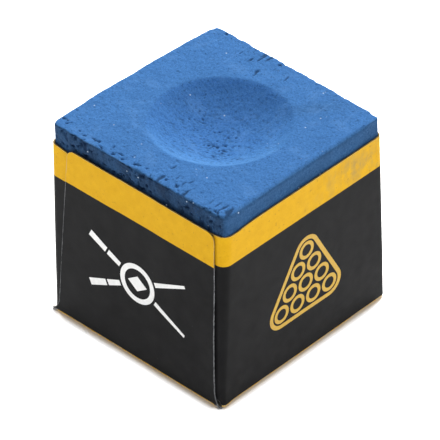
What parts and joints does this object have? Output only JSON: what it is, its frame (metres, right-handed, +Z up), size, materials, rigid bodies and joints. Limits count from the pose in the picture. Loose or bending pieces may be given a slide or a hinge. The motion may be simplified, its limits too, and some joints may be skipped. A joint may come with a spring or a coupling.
{
  "type": "cue chalk cube",
  "caption": "Cube of blue cue chalk with a worn round dish in its top, in a folded black paper label with a gold band.",
  "frame": {"origin": "centre of the base that it stands on", "axes": "+Z up through the dish, -Y out of the front flap, +X out of the right eared panel"},
  "size_m": [0.022, 0.0234, 0.0218],
  "materials": {
    "chalk": "matt, powdery pressed chalk",
    "label_black": "satin coated paper, printed black",
    "label_gold": "satin coated paper, printed gold ochre",
    "label_white": "bare white of the coated paper",
    "glue": "dried paper glue"
  },
  "bodies": {
    "root": {"chalk_block": "chalk", "label_base": "label_gold", "label_right_panel": "label_black", "label_left_panel": "label_black", "label_front_flap": "label_black", "label_back_flap": "label_black", "base_glue_film": "glue", "right_glue_film": "glue", "left_glue_film": "glue", "front_glue_film": "glue", "back_glue_film": "glue"}
  },
  "joints": []
}
